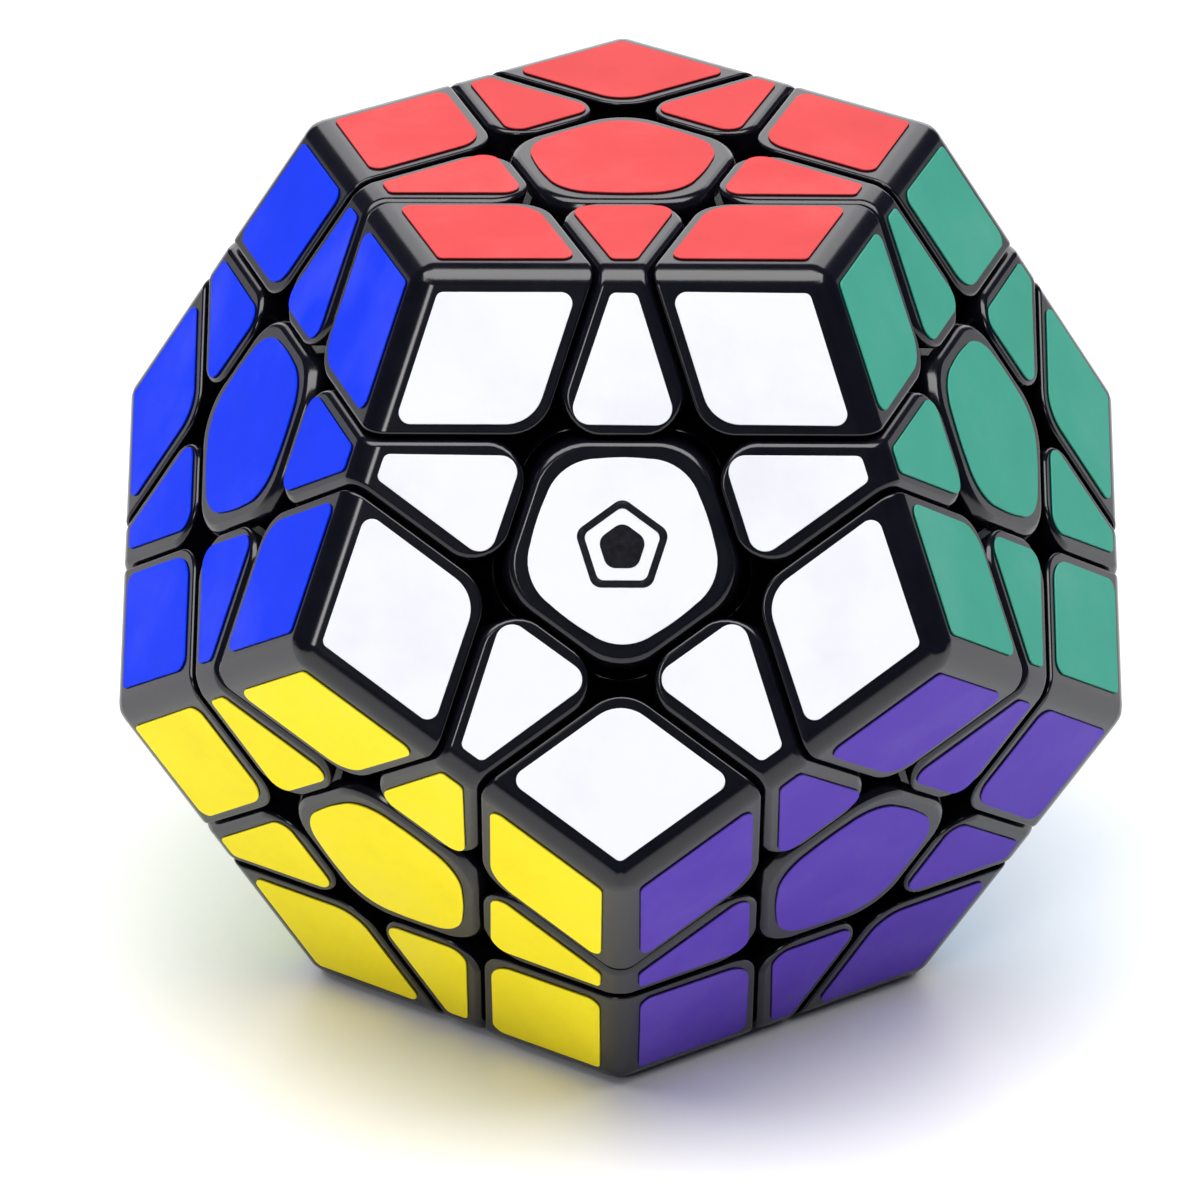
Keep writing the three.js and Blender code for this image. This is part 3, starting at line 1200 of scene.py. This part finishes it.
@dataclass
class Pieces:
    """The 30 edges, 20 corners and 12 centres in their places. Each centre is a base and a cap."""

    cuts: Cuts
    palette: Palette
    shell: Shell = field(init=False)
    bodies: dict[str, str] = field(init=False)

    CORE_NODE = "core_with_screws_and_nine_centres"

    def __post_init__(self) -> None:
        """Makes the tools that the pieces share, and looks up each CAD node's body."""
        self.shell = Shell(self.cuts, Works(self.cuts))
        groups = frame["record"]["behaviour"]["bodies"]
        self.bodies = {node: body for body, nodes in groups.items() for node in nodes}

    def body_of_face(self, face: str) -> str:
        """The body that a face's centre rides on."""
        return self.bodies.get(f"centre_{face}", self.bodies[self.CORE_NODE])

    def build(self) -> list[Piece]:
        """Places every edge, corner and centre.

        Returns:
            The new pieces.
        """
        solid = self.cuts.solid
        homes = {Kind.EDGE.value: self.shell.edge(), Kind.CORNER.value: self.shell.corner()}
        made = []
        for node in sorted(self.bodies):
            kind, *faces = node.split("_")
            if kind in homes:
                where = solid.placing(faces[0], faces[1])
                made.append(self.add(f"{node}_moulding", homes[kind], where, self.bodies[node], node))
        halves = {"base": ("centre", self.shell.centre_base()), "cap": ("cap", self.shell.centre_cap())}
        for face in solid.axes:
            where = solid.placing(face, solid.neighbours(face)[0])
            turning = f"centre_{face}" in self.bodies
            for half, (part, home) in halves.items():
                node = f"{part}_{face}" if turning else self.CORE_NODE
                made.append(self.add(f"centre_{face}_{half}", home, where, self.body_of_face(face), node))
        return made

    def add(self, name: str, home: Mesh, where: Matrix, body: str, node: str) -> Piece:
        """Places one moulding and hides the CAD node that it stands for.

        Args:
            name: The piece's name.
            home: Its home copy.
            where: The move from home to its place.
            body: The CAD body that it rides on.
            node: The CAD node.

        Returns:
            The new piece.
        """
        piece = even_shading(place(name, home, where, self.palette.shell, body))
        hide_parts(node)
        return piece


# ---- Stickers ----


@dataclass(frozen=True)
class Outline:
    """A flat outline with rounded corners, given by the straight lines along its sides."""

    lines: tuple[tuple[float, float], ...]  # (the outward normal's direction, distance), in order
    radii: tuple[float, ...]  # of the corner after each line
    bulge: float = 0.0  # how far each side swells out at its middle
    arc_steps: int = 10
    side_steps: int = 8

    def corners(self) -> list[Vector]:
        """The sharp corner after each line.

        Returns:
            The corners.
        """
        points = []
        for (angle_a, a), (angle_b, b) in zip(self.lines, self.lines[1:] + self.lines[:1]):
            across = math.sin(angle_b - angle_a)
            x = (a * math.sin(angle_b) - b * math.sin(angle_a)) / across
            y = (b * math.cos(angle_a) - a * math.cos(angle_b)) / across
            points.append(Vector((x, y)))
        return points

    def points(self) -> list[Vector]:
        """The outline, anticlockwise, with an arc at each corner.

        Returns:
            The points.
        """
        sharp = self.corners()
        found: list[Vector] = []
        ends: list[tuple[Vector, Vector]] = []
        arcs: list[list[Vector]] = []
        for i, (corner, radius) in enumerate(zip(sharp, self.radii)):
            before = (sharp[i - 1] - corner).normalized()
            after = (sharp[(i + 1) % len(sharp)] - corner).normalized()
            half = before.angle(after) / 2
            middle = corner + (before + after).normalized() * radius / math.sin(half)
            start = corner + before * radius / math.tan(half)
            end = corner + after * radius / math.tan(half)
            arcs.append([
                middle + (start - middle).slerp(end - middle, k / self.arc_steps).normalized() * radius
                for k in range(self.arc_steps + 1)
            ])
            ends.append((start, end))
        for i, arc in enumerate(arcs):
            found += arc
            if not self.bulge:
                continue
            a, b = ends[i][1], ends[(i + 1) % len(ends)][0]
            out = Vector((b.y - a.y, a.x - b.x)).normalized()
            for k in range(1, self.side_steps):
                t = k / self.side_steps
                found.append(a.lerp(b, t) + out * self.bulge * 4 * t * (1 - t))
        return found


@dataclass
class Stickers:
    """The 132 vinyl stickers, one on each side of each piece that shows, and the emblem on one of them."""

    cuts: Cuts
    palette: Palette
    pieces: Pieces
    thickness: float = 0.16 * MM
    round_over: float = 0.05 * MM
    centre_margin: float = 1.13 * MM  # beside the gap round a centre
    rim_margin: float = 0.95 * MM  # beside the other gaps
    edge_margin: float = 1.7 * MM  # beside the dodecahedron's edge
    centre_radius: float = 4.0 * MM
    corner_inner_radius: float = 2.9 * MM
    corner_outer_radius: float = 0.55 * MM
    corner_side_radius: float = 0.85 * MM
    wedge_inner_radius: float = 1.25 * MM
    wedge_outer_radius: float = 0.55 * MM
    centre_bulge: float = 0.1 * MM
    slip: float = 0.08 * MM  # how far off its place a hand-laid sticker may be
    twist: float = math.radians(0.6)  # and how far turned
    ring_inradius: float = 3.0 * MM  # of the emblem, from its middle to its sides
    ring_hole: float = 2.45 * MM
    dot_inradius: float = 1.55 * MM
    emblem_round: float = 0.9 * MM  # of the corners of the ring and the dot
    hole_round: float = 0.6 * MM
    emblem_arc_steps: int = 6
    ink_height: float = 0.012 * MM  # above the vinyl, and as much below its face

    def limits(self) -> tuple[float, float, float, float]:
        """How far the stickers reach from a face's middle.

        Returns:
            The sides of the centre's sticker, of an edge's towards the corners, and of both towards
            the middle and towards the dodecahedron's edge.
        """
        line, half = self.cuts.line_inradius, self.cuts.half_gap_on_face
        return (
            line - half - self.centre_margin,
            line - half - self.rim_margin,
            line + half + self.rim_margin,
            self.cuts.solid.face_inradius - self.edge_margin,
        )

    def outline(self, kind: Kind) -> Outline:
        """The outline of a sticker, on a face whose X points at the first neighbour of its piece.

        Args:
            kind: The kind of its piece.

        Returns:
            The outline.
        """
        turn = self.cuts.solid.RING_TURN
        middle, side, inner, outer = self.limits()
        if kind is Kind.CENTRE:
            lines = tuple((k * turn, middle) for k in range(5))
            return Outline(lines, (self.centre_radius,) * 5, bulge=self.centre_bulge)
        if kind is Kind.CORNER:
            lines = ((0.0, outer), (turn, outer), (math.pi, -inner), (math.pi + turn, -inner))
            point = self.corner_side_radius
            return Outline(lines, (self.corner_outer_radius, point, self.corner_inner_radius, point))
        lines = ((0.0, outer), (turn, side), (math.pi, -inner), (-turn, side))
        tip, foot = self.wedge_outer_radius, self.wedge_inner_radius
        return Outline(lines, (tip, foot, foot, tip))

    def plate(self, outline: Outline, base: float, top: float) -> Solid:
        """A thin plate with an outline, softly rounded over at the top.

        Args:
            outline: The outline.
            base: The height of its underside.
            top: The height of its upper side.

        Returns:
            The mesh, drawn about the face's middle.
        """
        solid = bmesh.new()
        ring = [solid.verts.new((p.x, p.y, base)) for p in outline.points()]
        face = solid.faces.new(ring)
        raised = bmesh.ops.extrude_face_region(solid, geom=[face])["geom"]
        verts = [g for g in raised if isinstance(g, bmesh.types.BMVert)]
        bmesh.ops.translate(solid, verts=verts, vec=(0, 0, top - base))
        bmesh.ops.recalc_face_normals(solid, faces=solid.faces)
        upper = [e for e in solid.edges if all(v.co.z > (base + top) / 2 for v in e.verts)]
        bevel(solid, upper, self.round_over, 2, 0)
        return solid

    def build(self) -> list[Piece]:
        """Lays every sticker and prints the emblem.

        Returns:
            The new pieces.
        """
        solid = self.cuts.solid
        homes = {
            kind: mesh_from(self.plate(self.outline(kind), 0, self.thickness), kind.value) for kind in Kind
        }
        made = []
        for face in solid.axes:
            towards, body = solid.neighbours(face)[0], self.pieces.body_of_face(face)
            made.append(self.lay(homes[Kind.CENTRE], face, towards, "centre", body))
        for node, body in sorted(self.pieces.bodies.items()):
            kind, *faces = node.split("_")
            if kind not in (Kind.EDGE.value, Kind.CORNER.value):
                continue
            for i, face in enumerate(faces):
                others = faces[i + 1:] + faces[:i]
                label = f"{kind}_{'_'.join(others)}"
                made.append(self.lay(homes[Kind(kind)], face, others[0], label, body))
        return [*made, self.emblem()]

    def lay(self, home: Mesh, face: str, towards: str, label: str, body: str) -> Piece:
        """Lays one sticker on a face.

        Args:
            home: Its home copy.
            face: The face.
            towards: The neighbour that its X points to.
            label: What sets it apart from the face's other stickers.
            body: The CAD body that it rides on.

        Returns:
            The sticker.
        """
        name = f"sticker_{face}_{label}"
        middle = sum((v.co for v in home.vertices), Vector()) / len(home.vertices)
        where = self.cuts.solid.on_face(face, towards) @ self.by_hand(name, middle)
        return even_shading(place(name, home, where, self.palette.vinyl[face], body))

    def by_hand(self, name: str, middle: Vector) -> Matrix:
        """The small error with which a sticker was laid.

        Args:
            name: The sticker's name, which settles the error.
            middle: The point that it is turned about.

        Returns:
            The move from its exact place.
        """
        chance = random.Random(name)
        slip = Vector((chance.uniform(-self.slip, self.slip), chance.uniform(-self.slip, self.slip), 0))
        turn = Matrix.Rotation(chance.uniform(-self.twist, self.twist), 4, "Z")
        return Matrix.Translation(middle + slip) @ turn @ Matrix.Translation(-middle)

    def emblem(self) -> Piece:
        """Prints a plain mark on the white centre: a five-sided ring round a five-sided dot.

        Returns:
            The mark.
        """
        solid = bmesh.new()
        outer = self.pentagon(self.ring_inradius, self.emblem_round)
        inner = self.pentagon(self.ring_hole, self.hole_round)
        dot = self.pentagon(self.dot_inradius, self.emblem_round)
        low, high = self.thickness - self.ink_height, self.thickness + self.ink_height
        levels = ((outer, low), (outer, high), (inner, high), (inner, low), (dot, low), (dot, high))
        *ring, dot_low, dot_high = ([solid.verts.new((p.x, p.y, z)) for p in line] for line, z in levels)
        skin(solid, [*zip(ring, ring[1:] + ring[:1]), (dot_low, dot_high)])
        solid.faces.new(dot_high)
        solid.faces.new(dot_low[::-1])
        bmesh.ops.recalc_face_normals(solid, faces=solid.faces)
        mark, where = mesh_from(solid, "emblem"), self.cuts.solid.on_face("white", "red")
        body = self.pieces.body_of_face("white")
        return even_shading(
            place("emblem_white_centre", mark, where, self.palette.ink, body)
        )

    def pentagon(self, inradius: float, radius: float) -> list[Vector]:
        """A small five-sided outline with a corner towards X.

        Args:
            inradius: From its middle to its sides.
            radius: Of its rounded corners.

        Returns:
            Its points.
        """
        turn = self.cuts.solid.RING_TURN
        sides = tuple((k * turn + turn / 2, inradius) for k in range(5))
        return Outline(sides, (radius,) * 5, arc_steps=self.emblem_arc_steps).points()


# ---- Core, screws, springs and washers ----


@dataclass
class Hardware:
    """What holds each centre to the core."""

    cuts: Cuts
    palette: Palette
    pieces: Pieces
    screw_radius: float = 1.3 * MM
    screw_steps: int = 32
    point_height: float = 0.8 * MM  # from the thread down to the point
    blunt_height: float = 0.6 * MM  # from the thread down to the point's blunt end
    blunt_share: float = 0.35  # the blunt end's radius, as a share of the thread's inner one
    thread_depth: float = 0.22 * MM
    thread_pitch: float = 0.75 * MM
    thread_shape: Triple = (0.2, 0.5, 0.8)  # foot, crest and foot along each pitch
    shank_taper: float = 0.3 * MM
    head_radius: float = 2.9 * MM
    head_bottom: float = 27.3 * MM
    head_top: float = 28.8 * MM
    head_chamfer: float = 0.1 * MM
    head_dome: float = 0.55 * MM
    dome_steps: int = 6
    slot_size: Triple = (3.1 * MM, 0.62 * MM, 1.9 * MM)  # half of its height is above the head
    wire_radius: float = 0.32 * MM
    wire_sides: int = 10
    spring_gap: float = 0.35 * MM  # to the well's wall
    spring_play: float = 0.05 * MM  # at each end
    spring_turns: int = 5
    spring_steps: int = 28  # to a turn
    closed_turns: float = 0.8  # that lie almost flat at each end
    closed_pitch: float = 0.98  # of those turns, as a share of the wire's thickness
    washer_thickness: float = 0.3 * MM
    washer_play: float = 0.15 * MM  # round the screw, and past its head
    washer_drop: float = 0.01 * MM  # under the head
    washer_nick: float = 0.05 * MM  # of its broken edges
    washer_steps: int = 40
    boss_radius: float = 3.4 * MM
    boss_rise: float = 0.2 * MM
    boss_chamfer: float = 0.25 * MM
    boss_steps: int = 40
    dimple_mouth: float = 0.25 * MM  # how much wider than the screw it starts
    dimple_play: float = 0.05 * MM  # and ends
    dimple_depth: float = 0.2 * MM

    def screw(self) -> Mesh:
        """A pan-head screw with a crossed drive, pointing up the Z axis.

        Returns:
            Its mesh.
        """
        radius, root = self.screw_radius, self.screw_radius - self.thread_depth
        low, thread_top = self.cuts.core_radius / 2, self.cuts.core_radius
        blunt = (self.blunt_share * root, low - self.blunt_height)
        profile = [(0, low - self.point_height), blunt, (root, low)]
        for k in range(int((thread_top - low) / self.thread_pitch)):
            z = low + k * self.thread_pitch
            places = zip((root, radius, root), self.thread_shape)
            profile += [(r, z + share * self.thread_pitch) for r, share in places]
        profile += [
            (root, thread_top),
            (radius, thread_top + self.shank_taper),
            (radius, self.head_bottom),
            (self.head_radius - self.head_chamfer, self.head_bottom),
            (self.head_radius, self.head_bottom + self.head_chamfer),
            (self.head_radius, self.head_top - self.head_dome),
        ]
        for k in range(1, self.dome_steps + 1):
            angle = k * math.pi / (2 * self.dome_steps)
            height = self.head_top - self.head_dome + self.head_dome * math.sin(angle)
            profile.append((self.head_radius * math.cos(angle), height))
        profile.append((0, self.head_top))
        body = mesh_from(turned_profile(profile, self.screw_steps), "screw")
        return shaped(body, [(self.slot(turn), Step.TAKE) for turn in (0, math.pi / 2)])

    def slot(self, turn: float) -> Mesh:
        """One arm of a screw's crossed drive, as the solid that cuts it.

        Args:
            turn: Its turn about the screw's axis, in radians.

        Returns:
            Its mesh.
        """
        solid = bmesh.new()
        size = Matrix.Diagonal((*self.slot_size, 1))
        where = Matrix.Translation((0, 0, self.head_top)) @ Matrix.Rotation(turn, 4, "Z") @ size
        bmesh.ops.create_cube(solid, size=1, matrix=where)
        return mesh_from(solid, "slot")

    def spring(self) -> Mesh:
        """A compression spring with closed ends, standing in the well.

        Returns:
            Its mesh.
        """
        coil = self.cuts.well_radius - self.spring_gap - self.wire_radius
        steps, sides = self.spring_turns * self.spring_steps, self.wire_sides
        solid = bmesh.new()
        rings = []
        for k in range(steps + 1):
            t = k / steps
            angle = t * self.spring_turns * math.tau
            out = Vector((math.cos(angle), math.sin(angle), 0))
            middle = out * coil + Vector((0, 0, self.wire_height(t)))
            rings.append([
                solid.verts.new(
                    middle
                    + out * self.wire_radius * math.cos(s * math.tau / sides)
                    + Vector((0, 0, self.wire_radius * math.sin(s * math.tau / sides)))
                )
                for s in range(sides)
            ])
        skin(solid, zip(rings, rings[1:]))
        solid.faces.new(rings[0])
        solid.faces.new(rings[-1][::-1])
        bmesh.ops.recalc_face_normals(solid, faces=solid.faces)
        return mesh_from(solid, "spring")

    def wire_height(self, t: float) -> float:
        """The height of the middle of a spring's wire.

        Args:
            t: The place along the wire, from 0 at its lower end to 1.

        Returns:
            The height.
        """
        low = self.cuts.seat_top + self.wire_radius + self.spring_play
        high = self.head_bottom - self.washer_thickness - self.wire_radius - self.spring_play
        closed = self.closed_turns / self.spring_turns
        rise = min(max((t - closed) / (1 - 2 * closed), 0), 1)
        flat_part = 2 * self.wire_radius * self.closed_pitch
        ends = min(t / closed, 1) + max((t - 1) / closed + 1, 0)
        return low + (high - low - 2 * flat_part) * rise + flat_part * ends

    def washer(self) -> Mesh:
        """A plain washer under the screw's head.

        Returns:
            Its mesh.
        """
        inner, outer = self.screw_radius + self.washer_play, self.head_radius + self.washer_play
        high = self.head_bottom - self.washer_drop
        low, nick = high - self.washer_thickness, self.washer_nick
        underside = [(inner, low + nick), (inner + nick, low), (outer - nick, low), (outer, low + nick)]
        upper_side = [(outer, high - nick), (outer - nick, high), (inner + nick, high), (inner, high - nick)]
        solid = bmesh.new()
        columns = []
        for k in range(self.washer_steps):
            angle = k * math.tau / self.washer_steps
            x, y = math.cos(angle), math.sin(angle)
            columns.append([solid.verts.new((r * x, r * y, z)) for r, z in underside + upper_side])
        skin(solid, zip(columns, columns[1:] + columns[:1]))
        bmesh.ops.recalc_face_normals(solid, faces=solid.faces)
        return mesh_from(solid, "washer")

    def core(self) -> Mesh:
        """The ball core, with a moulded boss round each screw.

        Returns:
            Its mesh, about the puzzle's centre.
        """
        radius, screw = self.cuts.core_radius, self.screw_radius
        top, boss = radius + self.boss_rise, self.boss_radius
        profile = [
            (0, radius / 2),
            (boss, radius / 2),
            (boss, top - self.boss_chamfer),
            (boss - self.boss_chamfer, top),
            (screw + self.dimple_mouth, top),
            (screw + self.dimple_play, top - self.dimple_depth),
            (0, top - self.dimple_depth),
        ]
        post = mesh_from(turned_profile(profile, self.boss_steps), "boss")
        posts = []
        for face in self.cuts.solid.axes:
            copy = post.copy()
            copy.transform(self.cuts.solid.upright(face))
            posts.append((copy, Step.ADD))
        return shaped(ball(radius), posts)

    def build(self) -> list[Piece]:
        """Places the core, and a screw, a spring and a washer under each cap.

        Returns:
            The new pieces.
        """
        core_node = self.pieces.CORE_NODE
        root = self.pieces.bodies[core_node]
        centre = Matrix.Translation(self.cuts.solid.centre)
        core = place("core_ball", self.core(), centre, self.palette.works, root)
        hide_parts(core_node)
        made = [core]
        homes = {"screw": self.screw(), "spring": self.spring(), "washer": self.washer()}
        for kind, home in homes.items():
            for face in self.cuts.solid.axes:
                where = centre @ self.cuts.solid.upright(face)
                body = root if kind == "screw" else self.pieces.body_of_face(face)
                piece = place(f"{kind}_{face}_steel", home, where, self.palette.steel, body)
                made.append(even_shading(piece) if kind == "screw" else piece)
                if f"{kind}_{face}" in self.pieces.bodies:
                    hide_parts(f"{kind}_{face}")
        return made


# ---- Studio ----


@dataclass(frozen=True)
class Softbox:
    """A rectangular area light that looks at the puzzle."""

    name: str
    azimuth: float  # degrees from the front towards the right
    elevation: float  # degrees above level
    distance: float
    width: float
    height: float
    radiance: float


@dataclass
class Studio:
    """Floor, lights and camera."""

    solid: Dodecahedron
    distance: float = 640 * MM  # of the camera from the puzzle's centre
    azimuth: float = math.radians(-0.16)  # from the front towards the right
    elevation: float = math.radians(26.04)
    roll: float = math.radians(0.30)
    field_of_view: float = math.radians(8.403)
    aim: tuple[float, float] = (-1.625 * MM, -3.81 * MM)  # how far right of and above the centre it looks
    floor_half: float = 4.0
    surround: Colour = (0.05, 0.05, 0.09)
    floor_colours: tuple[Colour, Colour] = ((0.86, 0.86, 0.86), (0.89, 0.89, 0.89))
    floor_roughness: float = 0.45
    softboxes: tuple[Softbox, ...] = (
        Softbox("overhead", azimuth=0, elevation=83.5, distance=1.2, width=2.1, height=0.84, radiance=5.9),
        Softbox("backdrop", azimuth=180, elevation=20, distance=1.5, width=1.6, height=1.1, radiance=1.9),
        Softbox("window", azimuth=-20, elevation=31, distance=1.2, width=0.28, height=0.3, radiance=9.0),
    )

    def build(self, floor_height: float) -> None:
        """Sets up the stage.

        Args:
            floor_height: The floor's height, just under the lowest stickers.
        """
        self.floor(floor_height)
        self.world()
        self.lights()
        self.camera()
        bpy.context.scene.view_settings.view_transform = "Standard"

    def floor(self, height: float) -> None:
        """A wide pale floor with a soft sheen.

        Args:
            height: Its height.
        """
        solid = bmesh.new()
        bmesh.ops.create_grid(solid, x_segments=8, y_segments=8, size=self.floor_half)
        floor = bpy.data.objects.new("floor", mesh_from(solid, "floor"))
        floor.location.z = height
        bpy.context.scene.collection.objects.link(floor)
        nodes = Nodes("studio_floor")
        darker, lighter = self.floor_colours
        tone = nodes.ramp(nodes.noise(3, detail=2), [(0.3, darker), (0.7, lighter)])
        nodes.link(tone, nodes.shader.inputs["Base Color"])
        nodes.shader.inputs["Roughness"].default_value = self.floor_roughness
        floor.data.materials.append(nodes.material)

    def world(self) -> None:
        """A dim, even surround."""
        world = bpy.data.worlds.new("studio")
        bpy.context.scene.world = world
        world.use_nodes = True
        background = world.node_tree.nodes["Background"]
        background.inputs["Color"].default_value = (*self.surround, 1)

    def lights(self) -> None:
        """Softboxes overhead, behind, and in front on the left."""
        for box in self.softboxes:
            light = bpy.data.lights.new(box.name, "AREA")
            light.shape = "RECTANGLE"
            light.size = box.width
            light.size_y = box.height
            light.energy = box.radiance * math.pi * box.width * box.height
            lamp = bpy.data.objects.new(box.name, light)
            level, up = math.radians(box.azimuth), math.radians(box.elevation)
            away = Vector((math.sin(level) * math.cos(up), -math.cos(level) * math.cos(up), math.sin(up)))
            lamp.location = self.solid.centre + away * box.distance
            lamp.rotation_euler = away.to_track_quat("Z", "Y").to_euler()
            bpy.context.scene.collection.objects.link(lamp)

    def camera(self) -> None:
        """A long lens, almost on the white face's axis."""
        data = bpy.data.cameras.new("camera")
        data.angle = self.field_of_view
        data.clip_start = 0.01
        camera = bpy.data.objects.new("camera", data)
        away = Vector((
            math.sin(self.azimuth) * math.cos(self.elevation),
            -math.cos(self.azimuth) * math.cos(self.elevation),
            math.sin(self.elevation),
        ))
        right = Vector((math.cos(self.azimuth), math.sin(self.azimuth), 0))
        up = away.cross(right)
        place_at = self.solid.centre + away * self.distance
        target = self.solid.centre + right * self.aim[0] + up * self.aim[1]
        back = (place_at - target).normalized()
        side = up.cross(back).normalized()
        turn = Matrix((side, back.cross(side), back)).transposed() @ Matrix.Rotation(self.roll, 3, "Z")
        camera.matrix_world = Matrix.Translation(place_at) @ turn.to_4x4()
        bpy.context.scene.collection.objects.link(camera)
        bpy.context.scene.camera = camera


def main() -> None:
    """Builds the puzzle and its studio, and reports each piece."""
    logging.basicConfig(level=logging.INFO, format="%(name)s: %(message)s")
    solid = Dodecahedron.from_frame()
    cuts = Cuts(solid)
    palette = Palette.mixed_for(STICKER_COLOURS)
    pieces = Pieces(cuts, palette)
    stickers = Stickers(cuts, palette, pieces)
    for group in (pieces, stickers, Hardware(cuts, palette, pieces)):
        for piece in group.build():
            LOG.info("%s: %s, %d faces", type(group).__name__, piece.name, len(piece.data.polygons))
    studio = Studio(solid)
    studio.build(-stickers.thickness - FLOOR_GAP)
    LOG.info("Studio: floor, camera and %d softboxes", len(studio.softboxes))


if __name__ == "__main__":
    main()
